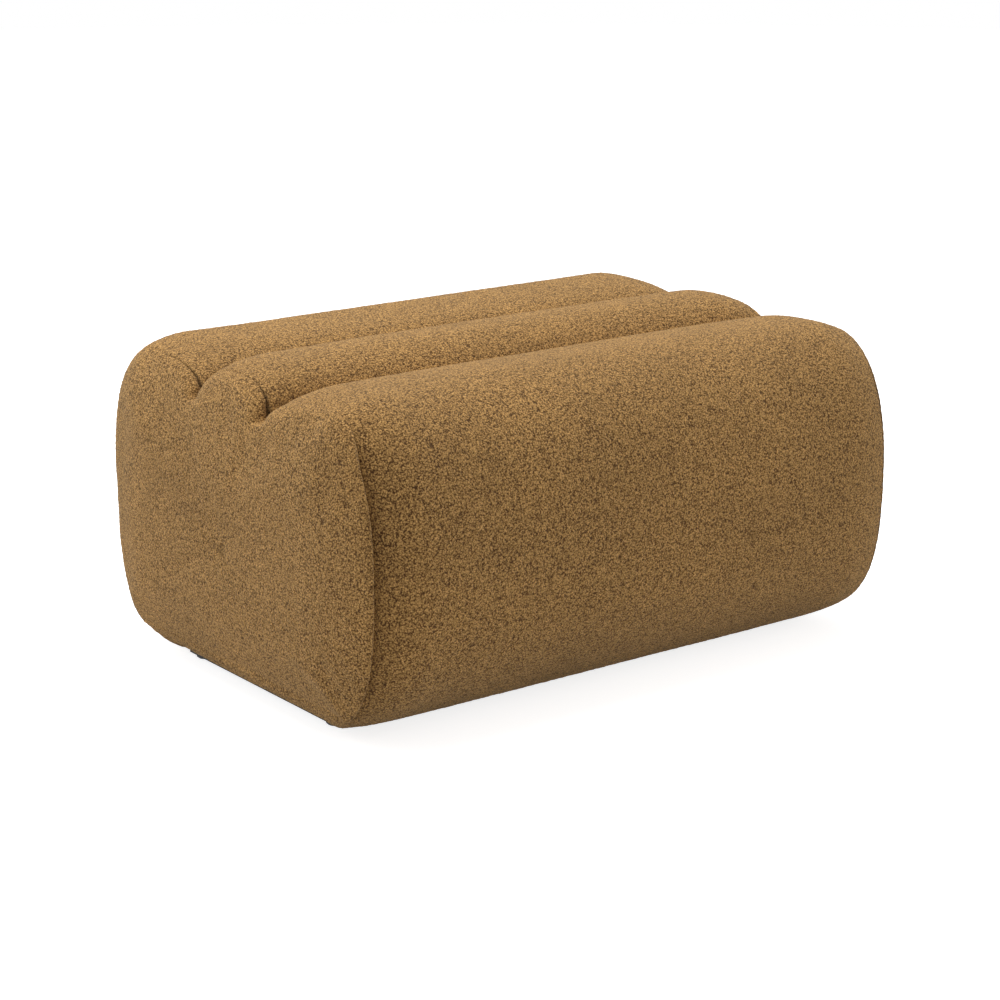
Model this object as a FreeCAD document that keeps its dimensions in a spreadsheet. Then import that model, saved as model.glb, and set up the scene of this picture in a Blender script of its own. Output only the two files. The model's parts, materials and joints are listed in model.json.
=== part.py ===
import FreeCAD, Part
import Sketcher
import math
import os
from FreeCAD import Placement, Rotation, Vector

# Three-roll ottoman with a storage box inside. The front roll, both end panels and the lower back are fixed
# round a plywood box. The middle and back rolls sit on one board, a lid that turns up on three butt hinges at
# the back and is held by two gas struts. X runs along the rolls, +Y points to the back, Z is up, and the
# origin is on the floor under the middle. Millimetres.

doc = FreeCAD.newDocument("ottoman")
sheet = doc.addObject("Spreadsheet::Sheet", "Sizes")

SIZES = [
    ("seam_half", 398.0),          # middle to the seam between the rolls and an end panel
    ("panel_swell", 42.0),         # how far an end panel stands out from its seam
    ("depth_half", 327.0),         # middle to the belly of an outer roll
    ("belly_height", 233.0),       # height of the widest line
    ("under_half", 68.5),          # middle to where the belly curve would meet the floor
    ("ridge_half", 211.0),         # middle to the top line of an outer roll
    ("outer_height", 424.0),       # top of the front and back rolls
    ("middle_height", 430.0),      # top of the middle roll
    ("valley_half", 78.0),         # middle to a valley
    ("valley_height", 372.0),      # where two rolls start to touch
    ("belly_power", 3.15),         # fullness of the curve below the widest line
    ("shoulder_power", 2.14),      # fullness of the curve above it
    ("crown_power", 2.46),         # fullness of a roll beside its valley
    ("end_round", 57.0),           # length of the rounded end of a roll
    ("end_drop", 20.0),            # how far a roll has drawn in at its seam
    ("rim_drop", 31.0),            # how far an end panel's rim has drawn in
    ("rim_reach", 16.0),           # from the seam to that rim
    ("cover_thick", 4.0),          # fabric with its batting
    ("soft_gap", 0.3),             # between a soft piece and its neighbour
    ("board_thick", 15.0),         # plywood
    ("end_inset", 38.0),           # outline of an end board inside the rolls' outline
    ("base_lift", 6.0),            # underside above the floor
    ("sheet_thick", 1.0),          # dust cover
    ("plinth_tall", 29.0),
    ("plinth_wide", 30.0),
    ("plinth_inset", 157.0),       # belly to the plinth
    ("plinth_half", "=depth_half - plinth_inset"),
    ("plinth_end_inset", 16.0),    # seam to the plinth's end
    ("plinth_end", "=seam_half - plinth_end_inset"),
    ("box_inset", 92.0),           # belly to the outside of the box
    ("box_half", "=depth_half - box_inset"),
    ("shelf_top", 319.0),
    ("shelf_inset", 44.0),         # belly to the outer edge of both shelves and of the lid board
    ("shelf_reach", "=depth_half - shelf_inset"),
    ("front_shelf_edge", 58.0),    # middle to the inner edge of the front shelf
    ("lid_gap", 3.0),              # between the shelves and the lid board
    ("lid_part_gap", 3.0),         # between the front roll and the lid
    ("lid_end_gap", 2.0),          # between the lid and an end board
    ("facing_thick", 1.2),         # fabric on an end board beside the lid
    ("liner_thick", 2.0),
    ("batten", 20.0),              # side of a corner block and of a shelf cleat
    ("batten_top", 280.0),
    ("hinge_inset", 7.5),          # belly to the hinge axis
    ("hinge_y", "=depth_half - hinge_inset"),
    ("hinge_length", 75.0),
    ("hinge_pitch", 290.0),        # from one hinge to the next
    ("hinge_leaf", 1.2),
    ("hinge_bite", 30.0),          # how far a leaf lies on its board
    ("hinge_barrel", 2.6),         # radius
    ("hinge_pin", 1.4),            # radius
    ("pin_play", 0.06),
    ("knuckle_play", 0.4),
    ("wood_screw_shank", 2.0),     # radius
    ("wood_screw_head", 4.0),      # radius
    ("wood_screw_long", 40.0),
    ("leaf_screw_shank", 1.5),     # radius
    ("leaf_screw_head", 2.9),      # radius
    ("leaf_screw_long", 12.0),
    ("glide_radius", 12.0),
    ("bumper_radius", 7.0),
    ("strut_inset", 19.0),         # seam to the plane that a strut swings in
    ("strut_x", "=seam_half - strut_inset"),
    ("strut_box_y", -40.0),        # lower pivot
    ("strut_box_z", 80.0),
    ("strut_lid_y", 180.0),        # upper pivot with the lid shut
    ("strut_lid_z", 303.0),
    ("strut_tube", 8.0),           # radius
    ("strut_wall", 1.2),
    ("strut_rod", 3.5),            # radius
    ("strut_neck", 14.0),          # from the lower pivot to the tube
    ("strut_tube_long", 214.0),
    ("socket_radius", 7.0),
    ("socket_wide", 10.0),
    ("stud_radius", 3.0),
    ("stud_play", 0.08),
    ("stud_gap", 0.4),             # between the lid's stud and the socket beside it
    ("bracket_thick", 3.0),
    ("bracket_wide", 30.0),
    ("lid_open", 85.0),            # degrees
]

for row, (alias, value) in enumerate(SIZES, start=1):
    sheet.set("A%d" % row, alias)
    sheet.set("B%d" % row, str(value))
    sheet.setAlias("B%d" % row, alias)
doc.recompute()


def size(alias):
    return float(sheet.get(alias))


NAMES = sorted((alias for alias, value in SIZES), key=len, reverse=True)
SUB_PARTS = []


def expr(text):
    """Puts the sheet's name before each alias."""
    out = ""
    i = 0
    while i < len(text):
        word = next((n for n in NAMES if text.startswith(n, i)), None)
        if word is None:
            out += text[i]
            i += 1
        else:
            out += "Sizes." + word
            i += len(word)
    return out


def keep(obj, label):
    obj.Label = label
    SUB_PARTS.append(obj)
    return obj


def box(name, x, y, z, length, width, height):
    b = doc.addObject("Part::Box", name)
    for prop, text in (("Placement.Base.x", x), ("Placement.Base.y", y), ("Placement.Base.z", z),
                       ("Length", length), ("Width", width), ("Height", height)):
        b.setExpression(prop, expr(text))
    return b


def rod(name, radius, height, x="0", y="0", z="0", axis=Vector(0, 0, 1)):
    c = doc.addObject("Part::Cylinder", name)
    c.Placement = Placement(Vector(0, 0, 0), Rotation(Vector(0, 0, 1), axis))
    for prop, text in (("Radius", radius), ("Height", height), ("Placement.Base.x", x),
                       ("Placement.Base.y", y), ("Placement.Base.z", z)):
        c.setExpression(prop, expr(text))
    return c


def cut(name, base, *tools):
    c = doc.addObject("Part::Cut", name)
    c.Base = base
    c.Tool = tools[0] if len(tools) == 1 else fuse(name + "_tools", *tools)
    return c


def fuse(name, *shapes):
    f = doc.addObject("Part::MultiFuse", name)
    f.Shapes = list(shapes)
    return f


def feature(name, shape):
    f = doc.addObject("Part::Feature", name)
    f.Shape = shape
    return f


def group(name, solids):
    """Separate solids in one sub-part."""
    return keep(feature(name, Part.makeCompound(solids)), name)


# ------------------------------------------------------------------ outline of the rolls

SIDES = (("left", -1), ("right", 1))
GAP = size("soft_gap")
SKIN = size("cover_thick")
FLOOR = size("base_lift") + size("sheet_thick") + GAP          # lowest line of the soft parts
PLINTH_TOP = size("base_lift") + size("sheet_thick") + size("plinth_tall")
WALL_FOOT = PLINTH_TOP + size("board_thick")
SHELF_UNDER = size("shelf_top") - size("board_thick")
LID_UNDER = size("shelf_top") + size("lid_gap")
LID_TOP = LID_UNDER + size("board_thick")


def quarter(centre, reach, power, start=0.0, end=90.0, steps=8):
    """Superellipse from centre + (reach y, 0) at 0 degrees to centre + (0, reach z) at 90."""
    points = []
    for i in range(steps + 1):
        angle = math.radians(start + (end - start) * i / steps)
        share_y = max(math.cos(angle), 0.0) ** (2 / power)
        share_z = max(math.sin(angle), 0.0) ** (2 / power)
        points.append((centre[0] + reach[0] * share_y, centre[1] + reach[1] * share_z))
    return points


def belly(inset, floor):
    """Back of the back roll from the height floor up to the widest line."""
    under, high, power = size("under_half"), size("belly_height"), size("belly_power")
    start = math.degrees(math.asin(((high - floor) / high) ** (power / 2)))
    reach = (size("depth_half") - inset - under, -high)
    return quarter((under, high), reach, power, start, 0.0, 10)


def shoulder(inset, low=None, top=None):
    """From the widest line, or the height low, up to the ridge of the back roll, or to the height top."""
    ridge, high, power = size("ridge_half"), size("belly_height"), size("shoulder_power")
    reach = (size("depth_half") - inset - ridge, size("outer_height") - inset - high)
    angles = [0.0, 90.0]
    for place, height in enumerate((low, top)):
        if height is not None:
            angles[place] = math.degrees(math.asin(((height - high) / reach[1]) ** (power / 2)))
    return quarter((ridge, high), reach, power, angles[0], angles[1])


def crown(inset, gap):
    """From the ridge of the back roll down to the plane gap behind its valley."""
    ridge, low = size("ridge_half"), size("valley_height") - inset
    reach = (size("valley_half") + gap - ridge, size("outer_height") - inset - low)
    return quarter((ridge, low), reach, size("crown_power"), 90.0, 0.0)


def middle(inset, front, back):
    """Top of the middle roll, from the plane front to the plane back, as two curves."""
    low = size("valley_height") - inset
    rise = size("middle_height") - inset - low
    up = quarter((0, low), (front, rise), size("crown_power"))
    down = quarter((0, low), (back, rise), size("crown_power"), 90.0, 0.0)
    return up, down


def flip(runs):
    """The same chain walked the other way."""
    return [list(reversed(run)) for run in reversed(runs)]


def mirror_runs(runs):
    return [[(-y, z) for y, z in run] for run in runs]


def chain(*parts):
    """Closed chain of runs: each part is a curve or a corner, joined by straight lines."""
    runs = []
    last = None
    first = None
    for part in parts:
        points = part if isinstance(part, list) else [part]
        if last is not None and math.dist(last, points[0]) > 1e-6:
            runs.append([last, points[0]])
        if len(points) > 1:
            runs.append(points)
        first = first or points[0]
        last = points[-1]
    if math.dist(last, first) > 1e-6:
        runs.append([last, first])
    return runs


def wire(x, runs):
    edges = []
    for run in runs:
        points = [Vector(x, y, z) for y, z in run]
        if len(points) == 2:
            edges.append(Part.makeLine(points[0], points[1]))
        else:
            curve = Part.BSplineCurve()
            curve.interpolate(points)
            edges.append(curve.toShape())
    return Part.Wire(edges)


def loft(stations, section):
    """Ruled solid through section(value) at each station (x, value)."""
    solid = Part.makeLoft([wire(x, section(value)) for x, value in stations], True, True)
    if solid.Volume < 0:
        solid.reverse()
    return solid


def roll(section, end):
    """A roll along X, drawn in towards its ends at x = +-end."""
    start = size("seam_half") - size("end_round")
    shares = (0.0, 0.5, 0.8, 1.0)
    stations = [(start + (end - start) * s, size("end_drop") * s ** 2.6) for s in shares]
    return loft([(-x, v) for x, v in reversed(stations)] + stations, section)


def strip(outer, inner):
    """Closed chain between an outer and an inner line."""
    return chain(*(outer + flip(inner)))


# ------------------------------------------------------------------ soft parts of the box

def front_cover(draw):
    lines = []
    for skin in (0.0, SKIN):
        inset = draw + skin
        plane_gap = size("lid_part_gap") / 2 + skin
        foot = (size("valley_half") + plane_gap, size("shelf_top") + GAP)
        lines.append([belly(inset, FLOOR), shoulder(inset), crown(inset, plane_gap), [foot]])
    return mirror_runs(chain(*(lines[0] + flip(lines[1]))))


def front_top_foam(draw):
    inset = draw + SKIN + GAP
    plane_gap = size("lid_part_gap") / 2 + SKIN + GAP
    floor = size("shelf_top") + GAP
    edge = shoulder(inset, floor)
    return mirror_runs(chain(edge, crown(inset, plane_gap), [(size("valley_half") + plane_gap, floor)]))


def belly_foam(draw):
    """Padding outside the back wall, from the underside to the shelf's top, and round the plinth."""
    inset = draw + SKIN + GAP
    edge = size("shelf_reach") + GAP
    wall = size("box_half") + GAP
    plinth = size("plinth_half") + GAP
    top = size("shelf_top") - GAP
    return chain(belly(inset, FLOOR), shoulder(inset, None, top), [(edge, top)], [(edge, SHELF_UNDER - GAP)],
                 [(wall, SHELF_UNDER - GAP)], [(wall, PLINTH_TOP - GAP)], [(plinth, PLINTH_TOP - GAP)],
                 [(plinth, FLOOR)])


def rear_cover(draw):
    top = size("shelf_top") - GAP
    lines = [[belly(draw + skin, FLOOR), shoulder(draw + skin, None, top)] for skin in (0.0, SKIN)]
    return chain(*(lines[0] + flip(lines[1])))


BOX_END = size("seam_half") - GAP
LID_END = size("seam_half") - size("lid_end_gap")
keep(feature("front_cover", roll(front_cover, BOX_END)), "front_cover")
keep(feature("front_roll_foam", roll(front_top_foam, BOX_END)), "front_roll_foam")
keep(feature("front_belly_foam", roll(lambda draw: mirror_runs(belly_foam(draw)), BOX_END)), "front_belly_foam")
keep(feature("rear_cover", roll(rear_cover, BOX_END)), "rear_cover")
keep(feature("rear_belly_foam", roll(belly_foam, BOX_END)), "rear_belly_foam")


def outline(inset, floor):
    """Whole section of the rolls."""
    notch = size("lid_part_gap") / 2
    half = [belly(inset, floor), shoulder(inset), crown(inset, notch)]
    up, down = middle(inset, -size("valley_half") + notch, size("valley_half") - notch)
    front = mirror_runs(flip(half))
    return chain(*(half + flip([up, down]) + front))


def panel(skin, start):
    """An end panel's solid on the right from x = start, drawn in by skin."""
    seam = size("seam_half")
    rim = seam + size("rim_reach")
    tip = seam + size("panel_swell") - skin
    swell = tip - rim
    inner = (size("end_drop") + skin, FLOOR + skin)
    stations = [(start, inner)] if start < seam else []
    stations += [(seam, inner), (rim - skin / 2, (size("rim_drop") + skin, FLOOR + skin))]
    for share, draw in ((0.6, 22.0), (0.88, 48.0), (1.0, 80.0)):
        stations.append((rim + swell * share, (size("rim_drop") + skin + draw, FLOOR + skin + draw * 0.8)))
    return loft(stations, lambda value: outline(value[0], value[1]))


def mirror_x(shape):
    return shape.mirror(Vector(0, 0, 0), Vector(1, 0, 0))


def slab(x0, x1, y0, y1, z0, z1):
    return Part.makeBox(x1 - x0, y1 - y0, z1 - z0, Vector(x0, y0, z0))


SEAM = size("seam_half")
FAR = 600.0
end_board = loft([(SEAM, size("end_inset")), (SEAM + size("board_thick"), size("end_inset"))],
                 lambda inset: outline(inset, PLINTH_TOP))
board_room = loft([(SEAM - GAP, size("end_inset") - GAP), (SEAM + size("board_thick") + GAP, size("end_inset") - GAP)],
                  lambda inset: outline(inset, PLINTH_TOP - GAP))
panel_skin = panel(0.0, SEAM).cut(panel(SKIN, SEAM - SKIN))
panel_foam = panel(SKIN + GAP, SEAM).cut(board_room)
facing = loft([(SEAM - size("facing_thick"), size("end_drop") + SKIN), (SEAM, size("end_drop") + SKIN)],
              lambda inset: outline(inset, FLOOR))
facing = facing.common(slab(0, FAR, -size("valley_half") + size("lid_part_gap") / 2, size("shelf_reach"),
                            LID_UNDER, FAR))
for side, sign in SIDES:
    for name, shape in (("end_cover", panel_skin), ("end_foam", panel_foam), ("end_facing", facing)):
        keep(feature(side + "_" + name, shape if sign > 0 else mirror_x(shape)), side + "_" + name)

# ------------------------------------------------------------------ soft parts of the lid

def middle_cover(draw):
    lines = []
    for skin in (0.0, SKIN):
        front = -(size("valley_half") - size("lid_part_gap") / 2 - skin)
        back = size("valley_half") - GAP / 2 - skin
        up, down = middle(draw + skin, front, back)
        lines.append([[(front, LID_UNDER)], up, down, [(back, LID_TOP + GAP)]])
    return strip(lines[0], lines[1])


def middle_foam(draw):
    front = -(size("valley_half") - size("lid_part_gap") / 2 - SKIN - GAP)
    back = size("valley_half") - GAP / 2 - SKIN - GAP
    up, down = middle(draw + SKIN + GAP, front, back)
    return chain([(front, LID_TOP)], up, down, [(back, LID_TOP)])


def back_cover(draw):
    lines = []
    for skin in (0.0, SKIN):
        gap = GAP / 2 + skin
        lines.append([shoulder(draw + skin, LID_UNDER + GAP), crown(draw + skin, gap),
                      [(size("valley_half") + gap, LID_TOP + GAP)]])
    return strip(lines[0], lines[1])


def back_foam(draw):
    inset = draw + SKIN + GAP
    gap = GAP / 2 + SKIN + GAP
    edge = size("shelf_reach") + GAP
    return chain(shoulder(inset, LID_UNDER + GAP), crown(inset, gap), [(size("valley_half") + gap, LID_TOP)],
                 [(edge, LID_TOP)], [(edge, LID_UNDER + GAP)])


for name, section in (("middle_cover", middle_cover), ("middle_foam", middle_foam),
                      ("back_cover", back_cover), ("back_foam", back_foam)):
    keep(feature(name, roll(section, LID_END)), name)

# ------------------------------------------------------------------ screws

def screw_shape(kind, point, direction):
    """Countersunk screw with its head's face at point, going in along direction."""
    shank, head = size(kind + "_shank"), size(kind + "_head")
    long = size(kind + "_long")
    tip = shank * 1.5
    solid = Part.makeCylinder(shank, long - tip)
    solid = solid.fuse(Part.makeCone(head, shank, head - shank))
    solid = solid.fuse(Part.makeCone(shank, shank * 0.2, tip, Vector(0, 0, long - tip)))
    solid = solid.removeSplitter()
    solid.Placement = Placement(point, Rotation(Vector(0, 0, 1), direction))
    return solid


def spread(count, half):
    """count places evenly spaced from -half to half."""
    return [0.0] if count == 1 else [-half + 2 * half * i / (count - 1) for i in range(count)]


board = size("board_thick")
wall_line = size("box_half") - board / 2
end_screws = []
for side, sign in SIDES:
    places = [(y, PLINTH_TOP + board / 2) for y in spread(4, size("box_half") - 55.0)]
    places += [(y, z) for y in (-wall_line, wall_line) for z in (120.0, 200.0, 270.0)]
    places += [(y, SHELF_UNDER + board / 2) for y in (-240.0, -160.0, -80.0, 250.0)]
    for y, z in places:
        end_screws.append(screw_shape("wood_screw", Vector(sign * (SEAM + board), y, z), Vector(-sign, 0, 0)))
plinth_line = size("plinth_half") - size("plinth_wide") / 2
for y in (-plinth_line, plinth_line):
    for x in spread(4, size("plinth_end") - 60.0):
        end_screws.append(screw_shape("wood_screw", Vector(x, y, WALL_FOOT), Vector(0, 0, -1)))
frame_screws = group("frame_screws", end_screws)

# ------------------------------------------------------------------ glides and bumpers

def turned(name, profile):
    """PartDesign body: profile of (radius, height) expressions turned round Z."""
    body = doc.addObject("PartDesign::Body", name)
    plane = next(o for o in body.Origin.OriginFeatures if o.Role == "XZ_Plane")
    sketch = body.newObject("Sketcher::SketchObject", name + "_sketch")
    sketch.AttachmentSupport = [(plane, "")]
    sketch.MapMode = "FlatFace"
    guess = [(10.0 if radius != "0" else 0.0, 3.0 * i) for i, (radius, height) in enumerate(profile)]
    guess = [(g[0] - 0.5 * i if g[0] else 0.0, g[1]) for i, g in enumerate(guess)]
    count = len(profile)
    for i in range(count):
        a, b = guess[i], guess[(i + 1) % count]
        sketch.addGeometry(Part.LineSegment(Vector(a[0], a[1], 0), Vector(b[0], b[1], 0)), False)
    for i in range(count):
        sketch.addConstraint(Sketcher.Constraint("Coincident", i, 2, (i + 1) % count, 1))
    for i, (radius, height) in enumerate(profile):
        for kind, text in (("DistanceX", radius), ("DistanceY", height)):
            if text == "0":
                axis = -2 if kind == "DistanceX" else -1
                sketch.addConstraint(Sketcher.Constraint("PointOnObject", i, 1, axis))
            else:
                start = guess[i][0] if kind == "DistanceX" else guess[i][1]
                number = sketch.addConstraint(Sketcher.Constraint(kind, -1, 1, i, 1, max(start, 0.1)))
                label = "c%d%s" % (i, kind[-1])
                sketch.renameConstraint(number, label)
                sketch.setExpression("Constraints." + label, expr(text))
    turn = body.newObject("PartDesign::Revolution", name + "_turn")
    turn.Profile = sketch
    turn.ReferenceAxis = (sketch, ["V_Axis"])
    turn.Angle = 360.0
    return body


glide = turned("glide_one", [("0", "0"), ("glide_radius - 2", "0"), ("glide_radius", "2"),
                             ("glide_radius", "base_lift"), ("4", "base_lift"), ("4", "base_lift + 9"),
                             ("0", "base_lift + 9")])
doc.recompute()
GLIDE_X = size("plinth_end") - size("plinth_wide") / 2
glide_points = [Vector(x, y, 0) for x in (-GLIDE_X, GLIDE_X) for y in (-plinth_line, plinth_line)]
bumper = turned("bumper_one", [("0", "0"), ("bumper_radius", "0"), ("bumper_radius", "lid_gap * 0.6"),
                               ("bumper_radius - lid_gap * 0.4", "lid_gap"), ("0", "lid_gap")])
doc.recompute()


def placed(shape, point):
    copy = shape.copy()
    copy.Placement = Placement(point, Rotation())
    return copy


glides = group("glides", [placed(glide.Shape, p) for p in glide_points])
bumper_line = -(size("front_shelf_edge") + size("bumper_radius") + 2.0)
group("bumpers", [placed(bumper.Shape, Vector(x, bumper_line, size("shelf_top"))) for x in spread(4, 330.0)])
# ------------------------------------------------------------------ wooden box

END = "seam_half"
WALL_TALL = "shelf_top - board_thick - (base_lift + sheet_thick + plinth_tall + board_thick)"
BASE_Z = "base_lift + sheet_thick + plinth_tall"
FOOT_Z = BASE_Z + " + board_thick"

base = box("base_blank", "-" + END, "-box_half", BASE_Z, "2 * " + END, "2 * box_half", "board_thick")
keep(cut("base_board", base, frame_screws), "base_board")
for name, y in (("front_wall", "-box_half"), ("rear_wall", "box_half - board_thick")):
    blank = box(name + "_blank", "-" + END, y, FOOT_Z, "2 * " + END, "board_thick", WALL_TALL)
    keep(cut(name, blank, frame_screws), name)

leaf_screws_box = []
leaf_screws_lid = []
leaf_line = size("shelf_reach") - size("hinge_bite") + 10.0
hinge_places = [-size("hinge_pitch"), 0.0, size("hinge_pitch")]
for x in hinge_places:
    for dx, dy in ((-28.0, 0.0), (0.0, 10.0), (28.0, 0.0)):
        low = Vector(x + dx, leaf_line + dy, size("shelf_top") + size("hinge_leaf"))
        leaf_screws_box.append(screw_shape("leaf_screw", low, Vector(0, 0, -1)))
        high = Vector(x + dx, leaf_line + dy, LID_UNDER - size("hinge_leaf"))
        leaf_screws_lid.append(screw_shape("leaf_screw", high, Vector(0, 0, 1)))

thick = size("bracket_thick")
wide = size("bracket_wide")
low_pivot = Vector(size("strut_x"), size("strut_box_y"), size("strut_box_z"))
top_pivot = Vector(size("strut_x"), size("strut_lid_y"), size("strut_lid_z"))
plate_x = SEAM - size("liner_thick")
web_x = size("strut_x") + size("socket_wide") / 2 + 2.0
for side, sign in SIDES:
    for dy in (-wide / 2 + 6.0, wide / 2 - 6.0):
        head = Vector(sign * (plate_x - thick), low_pivot.y + dy, low_pivot.z)
        leaf_screws_box.append(screw_shape("leaf_screw", head, Vector(sign, 0, 0)))
        head = Vector(sign * (web_x - 8.0), top_pivot.y + dy, LID_UNDER - thick)
        leaf_screws_lid.append(screw_shape("leaf_screw", head, Vector(0, 0, 1)))
fitting_screws_box = group("fitting_screws_box", leaf_screws_box)
fitting_screws_lid = group("fitting_screws_lid", leaf_screws_lid)

front_shelf = box("front_shelf_blank", "-" + END, "-shelf_reach", "shelf_top - board_thick", "2 * " + END,
                  "shelf_reach - front_shelf_edge", "board_thick")
keep(cut("front_shelf", front_shelf, frame_screws), "front_shelf")
rear_shelf = box("rear_shelf_blank", "-" + END, "box_half - board_thick", "shelf_top - board_thick",
                 "2 * " + END, "shelf_reach - box_half + board_thick", "board_thick")
keep(cut("rear_shelf", rear_shelf, frame_screws, fitting_screws_box), "rear_shelf")

right_board = feature("right_end_blank", end_board)
left_board = feature("left_end_blank", mirror_x(end_board))
keep(cut("right_end_board", right_board, frame_screws, fitting_screws_box), "right_end_board")
keep(cut("left_end_board", left_board, frame_screws, fitting_screws_box), "left_end_board")

for name, y in (("plinth_front_rail", "-plinth_half"), ("plinth_rear_rail", "plinth_half - plinth_wide")):
    blank = box(name + "_blank", "-plinth_end", y, "base_lift + sheet_thick", "2 * plinth_end",
                "plinth_wide", "plinth_tall")
    keep(cut(name, blank, frame_screws, glides), name)
for side, sign in SIDES:
    x = "plinth_end - plinth_wide" if sign > 0 else "-plinth_end"
    keep(box("plinth_%s_rail" % side, x, "-(plinth_half - plinth_wide)", "base_lift + sheet_thick",
             "plinth_wide", "2 * (plinth_half - plinth_wide)", "plinth_tall"), "plinth_%s_rail" % side)
    for place, y in (("front", "-(box_half - board_thick)"), ("rear", "box_half - board_thick - batten")):
        x = END + " - batten" if sign > 0 else "-" + END
        name = "%s_%s_corner_block" % (place, side)
        keep(box(name, x, y, FOOT_Z, "batten", "batten", "batten_top - (%s)" % FOOT_Z), name)
    name = side + "_shelf_cleat"
    keep(box(name, x, "-(box_half - board_thick - batten) + 5", "shelf_top - board_thick - batten", "batten",
             "box_half - board_thick - batten - front_shelf_edge - 5", "batten"), name)

# ------------------------------------------------------------------ lining and dust cover

LINE_X = END + " - batten"
keep(box("floor_liner", "-(%s)" % LINE_X, "-(box_half - board_thick)", FOOT_Z, "2 * (%s)" % LINE_X,
         "2 * (box_half - board_thick)", "liner_thick"), "floor_liner")
LINER_Z = FOOT_Z + " + liner_thick"
LINER_TALL = "batten_top - (%s)" % LINER_Z
for name, y in (("front_liner", "-(box_half - board_thick)"), ("rear_liner", "box_half - board_thick - liner_thick")):
    keep(box(name, "-(%s)" % LINE_X, y, LINER_Z, "2 * (%s)" % LINE_X, "liner_thick", LINER_TALL), name)
for side, sign in SIDES:
    x = END + " - liner_thick" if sign > 0 else "-" + END
    blank = box(side + "_liner_blank", x, "-(box_half - board_thick - batten)", FOOT_Z, "liner_thick",
                "2 * (box_half - board_thick - batten)", "batten_top - (%s)" % FOOT_Z)
    keep(cut(side + "_liner", blank, fitting_screws_box), side + "_liner")

dust = box("dust_blank", "-plinth_end", "-plinth_half", "base_lift", "2 * plinth_end", "2 * plinth_half",
           "sheet_thick")
keep(cut("dust_cover", dust, glides), "dust_cover")

# ------------------------------------------------------------------ lid board and hinges

lid_blank = box("lid_blank", "-(seam_half - lid_end_gap)",
                "-(valley_half - lid_part_gap / 2 - cover_thick - soft_gap)", "shelf_top + lid_gap",
                "2 * (seam_half - lid_end_gap)",
                "shelf_reach + valley_half - lid_part_gap / 2 - cover_thick - soft_gap", "board_thick")

AXIS_Z = "shelf_top + lid_gap / 2"
hinge_axis = Vector(0, size("hinge_y"), size("shelf_top") + size("lid_gap") / 2)


def leaf(name, plate_z, fingers, x):
    """Hinge leaf centred on x with its knuckles at the given fifths of the barrel."""
    start = "%s" % (x)
    plate = box(name + "_plate", start + " - hinge_length / 2", "shelf_reach - hinge_bite", plate_z,
                "hinge_length", "hinge_y - hinge_barrel - knuckle_play - shelf_reach + hinge_bite", "hinge_leaf")
    solids = [plate]
    for i in fingers:
        left = "%s - hinge_length / 2 + hinge_length * %d / 5 + knuckle_play / 2" % (start, i)
        wide = "hinge_length / 5 - knuckle_play"
        solids.append(box("%s_tab%d" % (name, i), left, "hinge_y - hinge_barrel - knuckle_play - 1", plate_z,
                          wide, "hinge_barrel + knuckle_play + 1", "hinge_leaf"))
        solids.append(rod("%s_knuckle%d" % (name, i), "hinge_barrel", wide, left, "hinge_y", AXIS_Z,
                          Vector(1, 0, 0)))
    bore = rod(name + "_bore", "hinge_pin + pin_play", "hinge_length + 2", start + " - hinge_length / 2 - 1",
               "hinge_y", AXIS_Z, Vector(1, 0, 0))
    return fuse(name + "_body", *solids), bore


for place, x in zip(("left", "middle", "right"), hinge_places):
    fixed, bore = leaf(place + "_fixed", "shelf_top", (0, 2, 4), x)
    keep(cut(place + "_hinge_fixed_leaf", fixed, bore, fitting_screws_box), place + "_hinge_fixed_leaf")
    moving, bore = leaf(place + "_moving", "shelf_top + lid_gap - hinge_leaf", (1, 3), x)
    keep(cut(place + "_hinge_moving_leaf", moving, bore, fitting_screws_lid), place + "_hinge_moving_leaf")

pins = [Part.makeCylinder(size("hinge_pin"), size("hinge_length"),
                          Vector(x - size("hinge_length") / 2, hinge_axis.y, hinge_axis.z), Vector(1, 0, 0))
        for x in hinge_places]
group("hinge_pins", pins)

keep(box("lid_liner", "-(strut_x - 25)", "-(front_shelf_edge - 6)", "shelf_top + lid_gap - 1",
         "2 * (strut_x - 25)", "front_shelf_edge - 6 + box_half - board_thick - 8", "1"), "lid_liner")

# ------------------------------------------------------------------ gas struts and their brackets


def lid_turned(point, degrees):
    """Where a point of the lid goes when the lid opens by degrees."""
    arm = point - Vector(point.x, hinge_axis.y, hinge_axis.z)
    return Vector(point.x, hinge_axis.y, hinge_axis.z) + Rotation(Vector(1, 0, 0), -degrees).multVec(arm)


def lean(point):
    """Length and lean of a strut whose upper end is at point."""
    arm = point - low_pivot
    return arm.Length, math.degrees(math.atan2(arm.z, arm.y))


shut_length, shut_lean = lean(top_pivot)
open_length, open_lean = lean(lid_turned(top_pivot, size("lid_open")))
print("strut: length %.3f to %.3f, lean %.4f to %.4f" % (shut_length, open_length, shut_lean, open_lean))

inner = size("strut_tube") - size("strut_wall")
neck = size("strut_neck")
tube_long = size("strut_tube_long")
hole = size("stud_radius") + size("stud_play")


def socket():
    """Flat round end with its eye along X, centred on the origin."""
    half = size("socket_wide") / 2
    return Part.makeCylinder(size("socket_radius"), 2 * half, Vector(-half, 0, 0), Vector(1, 0, 0))


def eye():
    return Part.makeCylinder(hole, 2 * size("socket_wide"), Vector(-size("socket_wide"), 0, 0), Vector(1, 0, 0))


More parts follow.
